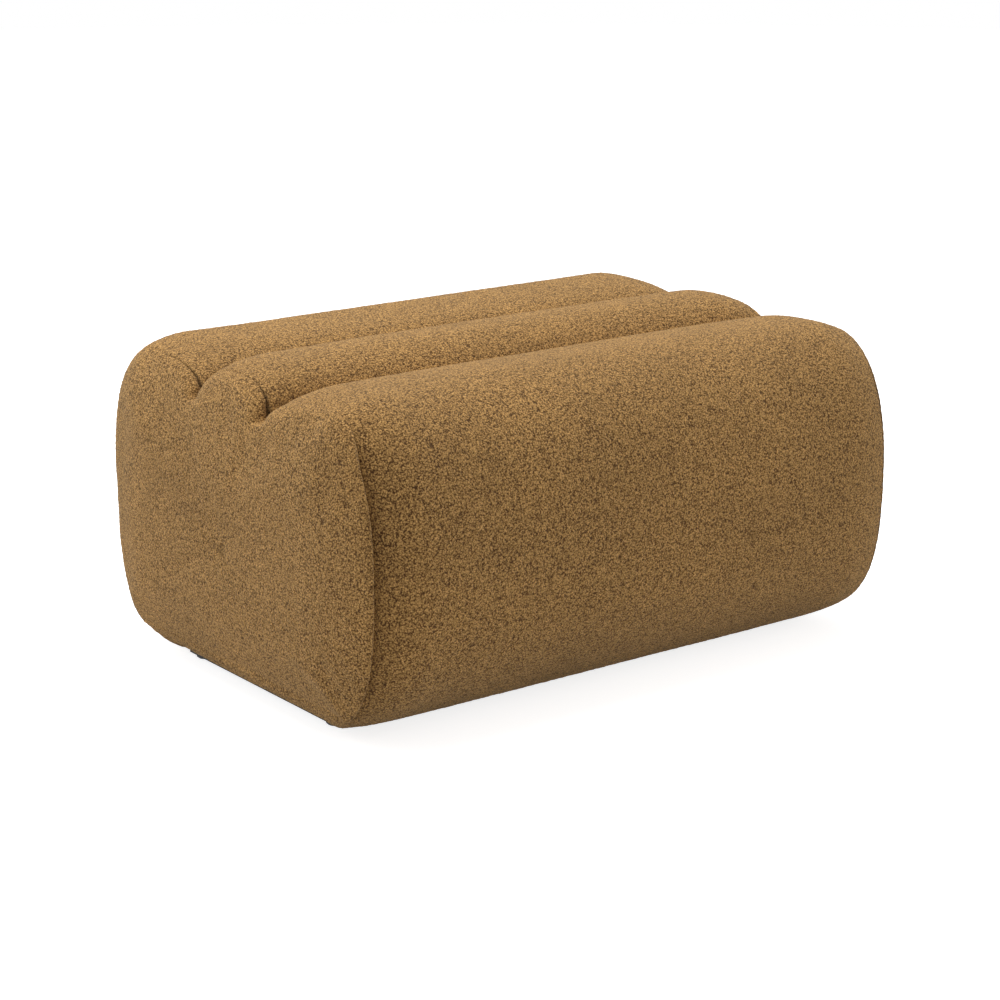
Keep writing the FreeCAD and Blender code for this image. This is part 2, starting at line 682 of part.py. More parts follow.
def strut_tube_shape():
    """Tube standing on its lower eye, along Z."""
    cap = 5.0
    solid = Part.makeCylinder(size("strut_tube"), tube_long, Vector(0, 0, neck))
    room = Part.makeCylinder(inner, tube_long - 2 * cap, Vector(0, 0, neck + cap))
    way = Part.makeCylinder(size("strut_rod") + 0.15, 3 * cap, Vector(0, 0, neck + tube_long - 2 * cap))
    stem = Part.makeCylinder(4.0, neck)
    return solid.cut(room).cut(way).fuse(stem).fuse(socket()).cut(eye()).removeSplitter()


def strut_rod_shape():
    """Rod with its piston, in the shut strut's place, its upper eye shut_length above the lower one."""
    start = neck + 8.0
    solid = Part.makeCylinder(size("strut_rod"), shut_length - start, Vector(0, 0, start))
    piston = Part.makeCylinder(inner - 0.2, 9.0, Vector(0, 0, start))
    collar = Part.makeCylinder(4.5, 9.0, Vector(0, 0, shut_length - size("socket_radius") - 7.0))
    top = socket()
    top.translate(Vector(0, 0, shut_length))
    through = eye()
    through.translate(Vector(0, 0, shut_length))
    return solid.fuse(piston).fuse(collar).fuse(top).cut(through).removeSplitter()


tube_shape = strut_tube_shape()
rod_shape = strut_rod_shape()
for side, sign in SIDES:
    for name, shape in (("strut_tube", tube_shape), ("strut_rod", rod_shape)):
        piece = keep(feature(side + "_" + name, shape), side + "_" + name)
        piece.Placement = Placement(Vector(sign * low_pivot.x, low_pivot.y, low_pivot.z),
                                    Rotation(Vector(1, 0, 0), shut_lean - 90.0))

bracket_shapes = {}
for side, sign in SIDES:
    turn = Vector(sign, 0, 0)
    plate = slab(plate_x - thick, plate_x, low_pivot.y - wide / 2, low_pivot.y + wide / 2,
                 low_pivot.z - 14.0, low_pivot.z + 14.0)
    stud_end = size("strut_x") - size("socket_wide") / 2 - 1.5
    stud = Part.makeCylinder(size("stud_radius"), plate_x - thick - stud_end,
                             Vector(stud_end, low_pivot.y, low_pivot.z), turn * sign)
    collar = Part.makeCylinder(5.5, plate_x - thick - size("strut_x") - size("socket_wide") / 2 - 0.5,
                               Vector(size("strut_x") + size("socket_wide") / 2 + 0.5, low_pivot.y, low_pivot.z),
                               turn * sign)
    low_shape = plate.fuse(stud).fuse(collar).removeSplitter()
    foot = slab(web_x - 16.0, web_x + thick, top_pivot.y - wide / 2, top_pivot.y + wide / 2,
                LID_UNDER - thick, LID_UNDER)
    web = slab(web_x, web_x + thick, top_pivot.y - 8.0, top_pivot.y + 8.0, top_pivot.z, LID_UNDER - thick / 2)
    web = web.fuse(Part.makeCylinder(8.0, thick, Vector(web_x, top_pivot.y, top_pivot.z), turn * sign))
    stub = Part.makeCylinder(size("stud_radius"), 2.0 - size("stud_gap") + thick / 2,
                             Vector(web_x - 2.0 + size("stud_gap"), top_pivot.y, top_pivot.z), turn * sign)
    top_shape = foot.fuse(web).fuse(stub).removeSplitter()
    bracket_shapes[side] = [shape if sign > 0 else mirror_x(shape) for shape in (low_shape, top_shape)]
for side, sign in SIDES:
    low_piece = feature(side + "_box_bracket_blank", bracket_shapes[side][0])
    keep(cut(side + "_box_bracket", low_piece, fitting_screws_box), side + "_box_bracket")
    top_piece = feature(side + "_lid_bracket_blank", bracket_shapes[side][1])
    keep(cut(side + "_lid_bracket", top_piece, fitting_screws_lid), side + "_lid_bracket")
keep(cut("lid_board", lid_blank, fitting_screws_lid), "lid_board")

# ------------------------------------------------------------------ check and write

doc.recompute()
for obj in doc.Objects:
    if "Invalid" in obj.State or "Error" in obj.State:
        raise RuntimeError("%s did not build: %s" % (obj.Label, obj.State))
for piece in SUB_PARTS:
    if piece.Shape.isNull() or not piece.Shape.isValid():
        raise RuntimeError(piece.Label + " has no sound shape")

os.makedirs("parts", exist_ok=True)
for piece in SUB_PARTS:
    piece.Shape.exportStep("parts/%s.step" % piece.Label)
    print("%-28s %2d solids %12.1f mm3" % (piece.Label, len(piece.Shape.Solids), piece.Shape.Volume))
print(len(SUB_PARTS), "sub-parts")
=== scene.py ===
import bpy
import bmesh
import json
import math
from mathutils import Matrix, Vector


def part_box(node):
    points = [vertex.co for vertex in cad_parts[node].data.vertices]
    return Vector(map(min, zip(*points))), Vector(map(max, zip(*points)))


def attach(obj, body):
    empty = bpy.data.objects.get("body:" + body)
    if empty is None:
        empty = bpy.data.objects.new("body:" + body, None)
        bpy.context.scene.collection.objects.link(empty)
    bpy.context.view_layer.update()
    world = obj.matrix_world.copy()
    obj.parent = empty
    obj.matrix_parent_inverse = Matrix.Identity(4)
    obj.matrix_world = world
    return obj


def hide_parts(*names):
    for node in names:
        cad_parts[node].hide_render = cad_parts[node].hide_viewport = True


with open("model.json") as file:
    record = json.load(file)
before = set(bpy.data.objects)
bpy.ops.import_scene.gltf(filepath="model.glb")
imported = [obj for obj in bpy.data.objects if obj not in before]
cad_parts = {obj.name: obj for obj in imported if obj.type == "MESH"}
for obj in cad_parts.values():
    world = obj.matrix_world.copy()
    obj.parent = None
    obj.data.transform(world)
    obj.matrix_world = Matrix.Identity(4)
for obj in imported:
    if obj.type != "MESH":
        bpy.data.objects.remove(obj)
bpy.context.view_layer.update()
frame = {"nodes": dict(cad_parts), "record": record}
nodes = frame["nodes"]

# Metres throughout. Places come from the frame wherever a node gives them.
frontLow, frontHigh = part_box("front_cover")
middleLow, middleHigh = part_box("middle_cover")
lidPast = 0.0014                             # how far the lid's rolls reach past their plain solids
shape = {
    "depthHalf": -frontLow.y, "outerTop": frontHigh.z, "middleTop": middleHigh.z, "floor": frontLow.z,
    "bellyHeight": 0.233, "underHalf": 0.0685, "ridgeHalf": 0.211,
    "valleyHalf": 0.078, "valleyHeight": 0.372,
    "valleySink": 0.1,                       # share of a ridge's draw that its valley follows
    "valleyGap": 0.0006,                     # least depth of a valley
    "bellyPower": 3.15, "shoulderPower": 2.14, "crownPower": 2.46,
    "roundStart": 0.3404, "roundReach": 0.0735, "roundDraw": 0.0313, "roundPower": 1.512,
    "topShare": 0.85,                        # how much of that rounding the ridges take
    "dipStart": 0.362, "dipDepth": 0.0135, "dipPower": 1.8,    # the hollow beside an end seam
    "bellyBelow": 0.355, "topAbove": 0.414,  # between these heights the belly's outline becomes the ridge's
    "rearHollow": 0.3,                       # share of that hollow at the rear
    "rearFade": 0.25,                        # from mid-depth to here the front's shape becomes the rear's
    "rearTuck": 0.004, "tuckReach": 0.010,   # an end panel's rear rim lies this much further in
    "rollEnd": 0.405, "lidEnd": middleHigh.x + lidPast,
    "split": 0.0004,                         # half the gap between the middle and back rolls
    "tongue": 0.001,                         # overlap in height where a cover folds over a board
    # half length, and height of the lower edge there
    "lowEdges": [(0.370, frontLow.z), (0.382, 0.0078), (0.390, 0.0110), (0.398, 0.0160), (0.405, 0.0225),
                 (0.411, 0.0300), (0.420, 0.0450), (0.430, 0.0690), (0.438, 0.105)],
    "step": 0.012, "hiddenStep": 0.035,      # spacing of a coarse mesh, seen and unseen
    "endDensity": 1.7,                       # how much closer its rows are where a roll draws in
}
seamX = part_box("right_end_board")[0].x
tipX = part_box("right_end_cover")[1].x
shelfLow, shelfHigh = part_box("rear_shelf")
lidLow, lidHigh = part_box("lid_board")
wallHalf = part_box("rear_wall")[1].y
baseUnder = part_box("base_board")[0].z
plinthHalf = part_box("plinth_rear_rail")[1].y
clear = 0.0012                               # between fabric and the wood it lies on


# Outline of the rolls.

def arc(centre, reach, power, start, end, count=48):     # a superellipse from start to end degrees
    points = []
    for i in range(count + 1):
        angle = math.radians(start + (end - start) * i / count)
        y = reach[0] * max(math.cos(angle), 0.0) ** (2 / power)
        z = reach[1] * max(math.sin(angle), 0.0) ** (2 / power)
        points.append((centre[0] + y, centre[1] + z))
    return points


def angleAt(height, reach, power):
    return math.degrees(math.asin(min(abs(height) / reach, 1.0) ** (power / 2)))


def bellyLine(draw, floor):
    s = shape
    start = angleAt(s["bellyHeight"] - floor, s["bellyHeight"], s["bellyPower"])
    reach = (s["depthHalf"] - draw - s["underHalf"], -s["bellyHeight"])
    return arc((s["underHalf"], s["bellyHeight"]), reach, s["bellyPower"], start, 0)


def shoulderLine(draw, low=None, high=None):
    s = shape
    reach = (s["depthHalf"] - draw - s["ridgeHalf"], s["outerTop"] - draw - s["bellyHeight"])
    start = 0 if low is None else angleAt(low - s["bellyHeight"], reach[1], s["shoulderPower"])
    end = 90 if high is None else angleAt(high - s["bellyHeight"], reach[1], s["shoulderPower"])
    return arc((s["ridgeHalf"], s["bellyHeight"]), reach, s["shoulderPower"], start, end)


def valleyUnder(draw, ridge):                # bottom of a valley; it fades where the ridge sinks to it
    s = shape
    return min(s["valleyHeight"] - s["valleySink"] * draw, ridge - draw - s["valleyGap"])


def crownLine(draw, plane):                  # outer ridge down to the valley's plane
    s = shape
    low = valleyUnder(draw, s["outerTop"])
    reach = (plane - s["ridgeHalf"], s["outerTop"] - draw - low)
    return arc((s["ridgeHalf"], low), reach, s["crownPower"], 90, 0)


def middleLine(draw, front, back):
    low = valleyUnder(draw, shape["outerTop"])
    rise = shape["middleTop"] - draw - low
    up = arc((0, low), (front, rise), shape["crownPower"], 0, 90)
    return up + arc((0, low), (back, rise), shape["crownPower"], 90, 0)[1:]


def evenly(points, count):                   # the same line in count equal stretches
    lengths = [math.dist(a, b) for a, b in zip(points, points[1:])]
    total = sum(lengths)
    result = []
    i, walked = 0, 0.0
    for k in range(count + 1):
        target = total * k / count
        while i < len(lengths) - 1 and walked + lengths[i] < target:
            walked += lengths[i]
            i += 1
        t = min((target - walked) / max(lengths[i], 1e-9), 1.0)
        result.append(tuple(p + (q - p) * t for p, q in zip(points[i], points[i + 1])))
    return result


def countsFor(parts, steps):
    totals = [sum(math.dist(a, b) for a, b in zip(p, p[1:])) for p in parts]
    return [max(1, round(total / step)) for total, step in zip(totals, steps)]


def loopOf(parts, counts):                   # closed loop; each part ends where the next begins
    loop = []
    for part, count in zip(parts, counts):
        loop += evenly(part, count)[:-1]
    return loop


def corners(*points):                        # straight legs between the points
    return [[a, b] for a, b in zip(points, points[1:])]


def rounding(x):                             # how far a roll has drawn in at x
    s = shape
    u = min(max((abs(x) - s["roundStart"]) / s["roundReach"], 0.0), 1.0)
    return s["roundDraw"] * (1 - (1 - u ** s["roundPower"]) ** (1 / s["roundPower"]))


def hollow(x):                               # how much further the belly draws in beside the seam
    s = shape
    along = max(abs(x) - s["dipStart"], 0.0) / (s["rollEnd"] - s["dipStart"])
    return s["dipDepth"] * along ** s["dipPower"]


def between(x, table):                       # straight-line value from a table of (x, value)
    for (x0, v0), (x1, v1) in zip(table, table[1:]):
        if x <= x1:
            return v0 + (v1 - v0) * max(x - x0, 0.0) / (x1 - x0)
    return table[-1][1]


def lowEdge(x):                              # the lower edge lifts towards the ends
    return between(abs(x), shape["lowEdges"])


def eased(share):                            # 0 to 1 with no kink at either end
    t = min(max(share, 0.0), 1.0)
    return t * t * (3 - 2 * t)


def bellyWeight(z):
    return 1 - eased((z - shape["bellyBelow"]) / (shape["topAbove"] - shape["bellyBelow"]))


def backWeight(y):
    return eased(y / shape["rearFade"])


def blended(top, belly):                     # one outline on the ridges, another on the belly
    loop = []
    for a, b in zip(top, belly):
        w = bellyWeight(a[2])
        x, y, z = [p + (q - p) * w for p, q in zip(a, b)]
        out = min(max((abs(x) - seamX) / shape["tuckReach"], 0.0), 1.0)
        tuck = shape["rearTuck"] * backWeight(y) * out
        loop.append((x - math.copysign(tuck, x), y, z))
    return loop


# Mesh tools.

capRim = 0.004                               # ring of faces round a filled end

def toObject(bm, name):
    bmesh.ops.recalc_face_normals(bm, faces=bm.faces)
    mesh = bpy.data.meshes.new(name)
    bm.to_mesh(mesh)
    bm.free()
    obj = bpy.data.objects.new(name, mesh)
    bpy.context.scene.collection.objects.link(obj)
    return obj


def settle(obj):                             # puts the modifiers' result into the mesh
    deps = bpy.context.evaluated_depsgraph_get()
    mesh = bpy.data.meshes.new_from_object(obj.evaluated_get(deps))
    old = obj.data
    obj.modifiers.clear()
    obj.data = mesh
    bpy.data.meshes.remove(old)
    mesh.name = obj.name
    for face in mesh.polygons:
        face.use_smooth = True


# Rows are closed loops of points from end to end. The first skinCount points of each are the visible
# skin, which the cloth may move, apart from so many held rows at the start and the end.
def tube(name, rows, skinCount, heldRows):
    around = len(rows[0])
    bm = bmesh.new()
    hold = bm.verts.layers.float.new("hold")
    bmesh.ops.create_grid(bm, x_segments=len(rows) - 1, y_segments=around, size=0.5)
    for vert in bm.verts:
        i = round((vert.co.x + 0.5) * (len(rows) - 1))
        j = round((vert.co.y + 0.5) * around) % around
        vert.co = rows[i][j]
        free = 0 < j < skinCount and heldRows[0] <= i < len(rows) - heldRows[1]
        vert[hold] = 0.0 if free else 1.0
    bmesh.ops.remove_doubles(bm, verts=bm.verts, dist=1e-5)
    known = set(bm.verts)
    rims = [e for e in bm.edges if e.is_boundary]
    caps = bmesh.ops.holes_fill(bm, edges=rims, sides=0)["faces"]
    bmesh.ops.inset_region(bm, faces=caps, thickness=capRim, use_even_offset=False)
    for vert in bm.verts:
        if vert not in known:
            vert[hold] = 1.0
    return toObject(bm, name)


clothRun = {"frames": 20, "quality": 5, "mass": 0.3}


def puff(obj, cloth):                        # blows the cover up a little, held along its edges
    held = obj.vertex_groups.new(name="hold")
    marks = obj.data.attributes["hold"].data
    held.add([i for i, mark in enumerate(marks) if mark.value > 0.5], 1.0, "REPLACE")
    rest = [v.co.copy() for v in obj.data.vertices]
    cloths = obj.modifiers.new("cloth", "CLOTH")
    settings = cloths.settings
    settings.quality = clothRun["quality"]
    settings.mass = clothRun["mass"]
    settings.tension_stiffness = cloth["stiffness"]
    settings.compression_stiffness = cloth["stiffness"]
    settings.bending_stiffness = cloth["bending"]
    settings.use_pressure = True
    settings.uniform_pressure_force = cloth["pressure"]
    settings.vertex_group_mass = "hold"
    settings.effector_weights.gravity = 0.0
    cloths.collision_settings.use_collision = False
    scene = bpy.context.scene
    for number in range(1, clothRun["frames"] + 1):
        scene.frame_set(number)
    moved = obj.evaluated_get(bpy.context.evaluated_depsgraph_get()).to_mesh()
    ends = [v.co.copy() for v in moved.vertices]
    obj.modifiers.clear()
    scene.frame_set(1)
    farthest = 0.0
    for vert, a, b in zip(obj.data.vertices, rest, ends):
        step = b - a
        farthest = max(farthest, step.length)
        if step.length > cloth["cap"]:
            step *= cloth["cap"] / step.length
        vert.co = a + step
    print("  cloth on", obj.name, "moved up to", round(farthest * 1000, 1), "mm")


nubs = bpy.data.textures.new("nubs", "VORONOI")
nubs.noise_scale = 0.0036
nubs.distance_metric = "DISTANCE"
curls = bpy.data.textures.new("curls", "CLOUDS")
curls.noise_scale = 0.0055
curls.noise_depth = 2
hand = bpy.data.textures.new("hand", "CLOUDS")
hand.noise_scale = 0.16
surfaceLevels = 2
pushes = [("uneven", hand, 0.0014), ("curl", curls, 0.0009), ("nub", nubs, -0.0011)]


def fabricSurface(obj):                      # even quads, a hand-stuffed unevenness, then the loops' nubs
    sub = obj.modifiers.new("smooth", "SUBSURF")
    sub.levels = surfaceLevels
    sub.render_levels = surfaceLevels
    for name, texture, strength in pushes:
        push = obj.modifiers.new(name, "DISPLACE")
        push.texture = texture
        push.texture_coords = "LOCAL"
        push.strength = strength
        push.mid_level = 0.5
    settle(obj)


# Material tools.

def tree(material):
    material.use_nodes = True
    return material.node_tree


def put(nt, kind, **values):
    node = nt.nodes.new(kind)
    for key, value in values.items():
        if key in node.inputs:
            node.inputs[key].default_value = value
        else:
            setattr(node, key, value)
    return node


def remap(nt, value, start=(0.0, 1.0), end=(0.0, 1.0)):  # one range of values onto another
    node = nt.nodes.new("ShaderNodeMapRange")
    for label, at in zip(("From Min", "From Max", "To Min", "To Max"), (*start, *end)):
        node.inputs[label].default_value = at
    nt.links.new(value, node.inputs["Value"])
    return node


def useGroup(nt, group, place, values):
    node = nt.nodes.new("ShaderNodeGroup")
    node.node_tree = group
    for label, value in values.items():
        node.inputs[label].default_value = value
    nt.links.new(place, node.inputs["Vector"])
    return node


def newGroup(name, inputs, outputs):
    group = bpy.data.node_groups.new(name, "ShaderNodeTree")
    for label, kind in inputs:
        group.interface.new_socket(name=label, in_out="INPUT", socket_type=kind)
    for label, kind in outputs:
        group.interface.new_socket(name=label, in_out="OUTPUT", socket_type=kind)
    return group, group.nodes.new("NodeGroupInput"), group.nodes.new("NodeGroupOutput")


def ramp(nt, stops):
    node = nt.nodes.new("ShaderNodeValToRGB")
    points = node.color_ramp.elements
    while len(points) < len(stops):
        points.new(0.5)
    for point, (at, color) in zip(points, stops):
        point.position = at
        point.color = (*color, 1.0)
    return node


def mathNode(nt, operation, *values):
    node = nt.nodes.new("ShaderNodeMath")
    node.operation = operation
    for i, value in enumerate(values):
        if isinstance(value, (int, float)):
            node.inputs[i].default_value = value
        else:
            nt.links.new(value, node.inputs[i])
    return node


def vectorNode(nt, operation, a, b):
    node = nt.nodes.new("ShaderNodeVectorMath")
    node.operation = operation
    nt.links.new(a, node.inputs[0])
    if isinstance(b, tuple):
        node.inputs[1].default_value = b
    else:
        nt.links.new(b, node.inputs[1])
    return node


def mixColor(nt, share, a, b, blend="MIX"):
    node = nt.nodes.new("ShaderNodeMix")
    node.data_type = "RGBA"
    node.blend_type = blend
    for socket, value in ((node.inputs[0], share), (node.inputs[6], a), (node.inputs[7], b)):
        if isinstance(value, (int, float)):
            socket.default_value = value
        elif isinstance(value, tuple):
            socket.default_value = (*value, 1.0)
        else:
            nt.links.new(value, socket)
    return node.outputs[2]


yarnLook = {
    "wander": 0.0022,                        # how far the loops stray from even spacing
    "dome": -1.25, "curl": 1.7,              # height by distance from a loop's centre, and by its fibres
    "each": 0.42,                            # difference of tone from loop to loop
    "shadeAndToneSpan": (-0.05, 1.05),                  # heights that take the dark colour, painted shade between the loops, and the light yarn colour
    "patches": (0.93, 1.07),                 # slow change of tone over the whole piece
}


def loopedYarn():                            # curled yarn loops: colour, with painted shade between the loops, and height
    look = yarnLook
    group, into, out = newGroup("loopedYarn", [
        ("Vector", "NodeSocketVector"), ("Loops per metre", "NodeSocketFloat"),
        ("Light", "NodeSocketColor"), ("Dark", "NodeSocketColor")],
        [("Color", "NodeSocketColor"), ("Height", "NodeSocketFloat")])
    vector = into.outputs["Vector"]
    wander = put(group, "ShaderNodeTexNoise", Scale=330.0, Detail=1.0)
    group.links.new(vector, wander.inputs["Vector"])
    centred = vectorNode(group, "SUBTRACT", wander.outputs["Color"], (0.5, 0.5, 0.5))
    shift = vectorNode(group, "MULTIPLY", centred.outputs[0], (look["wander"],) * 3)
    bent = vectorNode(group, "ADD", vector, shift.outputs[0])
    loops = put(group, "ShaderNodeTexVoronoi", feature="F1", Randomness=1.0)
    group.links.new(bent.outputs[0], loops.inputs["Vector"])
    group.links.new(into.outputs["Loops per metre"], loops.inputs["Scale"])
    fine = put(group, "ShaderNodeTexNoise", Scale=620.0, Detail=1.0, Roughness=0.6)
    group.links.new(bent.outputs[0], fine.inputs["Vector"])
    broad = put(group, "ShaderNodeTexNoise", Scale=7.0, Detail=2.0)
    group.links.new(vector, broad.inputs["Vector"])
    dome = mathNode(group, "MULTIPLY", loops.outputs["Distance"], look["dome"])
    dome = mathNode(group, "ADD", dome.outputs[0], 1.0)
    curl = mathNode(group, "SUBTRACT", fine.outputs["Fac"], 0.5)
    curl = mathNode(group, "MULTIPLY", curl.outputs[0], look["curl"])
    height = mathNode(group, "ADD", dome.outputs[0], curl.outputs[0])
    apart = group.nodes.new("ShaderNodeSeparateColor")
    group.links.new(loops.outputs["Color"], apart.inputs[0])
    each = mathNode(group, "SUBTRACT", apart.outputs[0], 0.5)
    each = mathNode(group, "MULTIPLY", each.outputs[0], look["each"])
    shadeAndTone = mathNode(group, "ADD", height.outputs[0], each.outputs[0])
    spread = remap(group, shadeAndTone.outputs[0], look["shadeAndToneSpan"])
    # painted shade: the lower a point of the loops, the nearer its colour to the dark one, darkest in the
    # gaps; each loop's random tone adds to it
    base = mixColor(group, spread.outputs[0], into.outputs["Dark"], into.outputs["Light"])
    large = remap(group, broad.outputs["Fac"], (0.3, 0.7), look["patches"])
    shade = group.nodes.new("ShaderNodeCombineColor")
    for i in range(3):
        group.links.new(large.outputs[0], shade.inputs[i])
    final = mixColor(group, 1.0, base, shade.outputs[0], "MULTIPLY")
    group.links.new(final, out.inputs["Color"])
    group.links.new(height.outputs[0], out.inputs["Height"])
    return group


def finish(name, color, roughness, **more):  # a material with its shader, ready to be wired
    material = bpy.data.materials.new(name)
    nt = tree(material)
    shader = nt.nodes["Principled BSDF"]
    shader.inputs["Base Color"].default_value = (*color, 1.0)
    shader.inputs["Roughness"].default_value = roughness
    for key, value in more.items():
        shader.inputs[key.replace("_", " ")].default_value = value
    coords = nt.nodes.new("ShaderNodeTexCoord")
    return material, nt, shader, coords.outputs["Object"]


def bump(nt, shader, height, strength, distance):
    node = put(nt, "ShaderNodeBump", Strength=strength, Distance=distance)
    nt.links.new(height, node.inputs["Height"])
    nt.links.new(node.outputs[0], shader.inputs["Normal"])


yarn = loopedYarn()
# light is the yarn's own colour; dark is painted shade for the gaps between the loops
boucleLook = {"light": (0.660, 0.374, 0.124), "dark": (0.072, 0.030, 0.008), "loops": 450.0}


def boucleMaterial():
    material, nt, shader, place = finish("boucle", boucleLook["light"], 0.95, Sheen_Weight=0.22,
                                         Sheen_Roughness=0.5, Specular_IOR_Level=0.15)
    shader.inputs["Sheen Tint"].default_value = (1.0, 0.80, 0.50, 1.0)
    loops = useGroup(nt, yarn, place, {
        "Loops per metre": boucleLook["loops"],
        "Light": (*boucleLook["light"], 1.0), "Dark": (*boucleLook["dark"], 1.0)})
    nt.links.new(loops.outputs["Color"], shader.inputs["Base Color"])
    bump(nt, shader, loops.outputs["Height"], 0.8, 0.0011)
    return material


def wovenMaterial(name, light, dark, threads):           # plain weave for linings
    material, nt, shader, place = finish(name, light, 0.85, Sheen_Weight=0.15, Specular_IOR_Level=0.2)
    waves = []
    for direction in ("X", "Y", "Z"):
        wave = put(nt, "ShaderNodeTexWave", Scale=threads, Distortion=0.6, bands_direction=direction)
        nt.links.new(place, wave.inputs["Vector"])
        waves.append(wave)
    weave = mathNode(nt, "MULTIPLY", waves[0].outputs["Fac"], waves[1].outputs["Fac"])
    weave = mathNode(nt, "ADD", weave.outputs[0], waves[2].outputs["Fac"])
    slub = put(nt, "ShaderNodeTexNoise", Scale=90.0, Detail=3.0)
    nt.links.new(place, slub.inputs["Vector"])
    both = mathNode(nt, "MULTIPLY", weave.outputs[0], slub.outputs["Fac"])
    color = mixColor(nt, both.outputs[0], dark, light)
    nt.links.new(color, shader.inputs["Base Color"])
    bump(nt, shader, weave.outputs[0], 0.4, 0.0004)
    return material


def fibreMaterial(name, light, dark):        # thin bonded cloth
    material, nt, shader, place = finish(name, light, 0.8, Specular_IOR_Level=0.25)
    fibres = put(nt, "ShaderNodeTexNoise", Scale=420.0, Detail=5.0, Roughness=0.75, Distortion=2.0)
    dots = put(nt, "ShaderNodeTexVoronoi", Scale=380.0, Randomness=0.15)
    nt.links.new(place, fibres.inputs["Vector"])
    nt.links.new(place, dots.inputs["Vector"])
    color = mixColor(nt, fibres.outputs["Fac"], dark, light)
    nt.links.new(color, shader.inputs["Base Color"])
    both = mathNode(nt, "ADD", fibres.outputs["Fac"], dots.outputs["Distance"])
    bump(nt, shader, both.outputs[0], 0.35, 0.0005)
    return material


def woodGrain():
    group, into, out = newGroup("woodGrain", [
        ("Vector", "NodeSocketVector"), ("Stretch", "NodeSocketVector"),
        ("Light", "NodeSocketColor"), ("Dark", "NodeSocketColor")],
        [("Color", "NodeSocketColor"), ("Height", "NodeSocketFloat")])
    long = vectorNode(group, "MULTIPLY", into.outputs["Vector"], into.outputs["Stretch"])
    rings = put(group, "ShaderNodeTexNoise", Scale=3.2, Detail=3.0, Distortion=1.3)
    pores = put(group, "ShaderNodeTexNoise", Scale=38.0, Detail=4.0, Roughness=0.65)
    group.links.new(long.outputs[0], rings.inputs["Vector"])
    group.links.new(long.outputs[0], pores.inputs["Vector"])
    bands = mathNode(group, "MULTIPLY", rings.outputs["Fac"], 9.0)
    bands = mathNode(group, "FRACT", bands.outputs[0])
    share = mathNode(group, "MULTIPLY", bands.outputs[0], 0.55)
    dots = mathNode(group, "MULTIPLY", pores.outputs["Fac"], 0.4)
    share = mathNode(group, "ADD", share.outputs[0], dots.outputs[0])
    color = mixColor(group, share.outputs[0], into.outputs["Light"], into.outputs["Dark"])
    group.links.new(color, out.inputs["Color"])
    group.links.new(pores.outputs["Fac"], out.inputs["Height"])
    return group


grain = woodGrain()
plyThickness = 0.00215


def woodMaterial(name, light, dark, stretch, plyAxis=None, plyStart=0.0):
    material, nt, shader, place = finish(name, light, 0.6)
    wood = useGroup(nt, grain, place, {
        "Stretch": stretch, "Light": (*light, 1.0), "Dark": (*dark, 1.0)})
    color = wood.outputs["Color"]
    if plyAxis is not None:                  # darker glue lines between the plies
        parts = nt.nodes.new("ShaderNodeSeparateXYZ")
        nt.links.new(place, parts.inputs[0])
        depth = mathNode(nt, "SUBTRACT", parts.outputs[plyAxis], plyStart)
        depth = mathNode(nt, "DIVIDE", depth.outputs[0], plyThickness)
        ply = mathNode(nt, "PINGPONG", depth.outputs[0], 1.0)
        line = ramp(nt, [(at, (grey,) * 3) for at, grey in ((0.0, 0.55), (0.22, 1.0), (0.8, 0.86))])
        nt.links.new(ply.outputs[0], line.inputs[0])
        color = mixColor(nt, 1.0, color, line.outputs[0], "MULTIPLY")
    nt.links.new(color, shader.inputs["Base Color"])
    bump(nt, shader, wood.outputs["Height"], 0.25, 0.0004)
    return material


def surfaceWear():                           # soft blotches and fine scratches
    group, into, out = newGroup("surfaceWear", [
        ("Vector", "NodeSocketVector"), ("Blotches", "NodeSocketFloat")],
        [("Mask", "NodeSocketFloat"), ("Scratches", "NodeSocketFloat")])
    blotch = put(group, "ShaderNodeTexNoise", Detail=4.0)
    group.links.new(into.outputs["Vector"], blotch.inputs["Vector"])
    group.links.new(into.outputs["Blotches"], blotch.inputs["Scale"])
    thin = vectorNode(group, "MULTIPLY", into.outputs["Vector"], (60.0, 900.0, 900.0))
    lines = put(group, "ShaderNodeTexNoise", Scale=1.0, Detail=2.0)
    group.links.new(thin.outputs[0], lines.inputs["Vector"])
    group.links.new(blotch.outputs["Fac"], out.inputs["Mask"])
    group.links.new(lines.outputs["Fac"], out.inputs["Scratches"])
    return group


wear = surfaceWear()


def hardMaterial(name, color, other, roughness, metallic, blotches, bumpBy=0.1):
    material, nt, shader, place = finish(name, color, roughness, Metallic=metallic)
    worn = useGroup(nt, wear, place, {"Blotches": blotches})
    nt.links.new(mixColor(nt, worn.outputs["Mask"], color, other), shader.inputs["Base Color"])
    rough = remap(nt, worn.outputs["Scratches"], end=(roughness * 0.75, roughness * 1.25))
    nt.links.new(rough.outputs[0], shader.inputs["Roughness"])
    bump(nt, shader, worn.outputs["Scratches"], bumpBy, 0.0002)
    return material


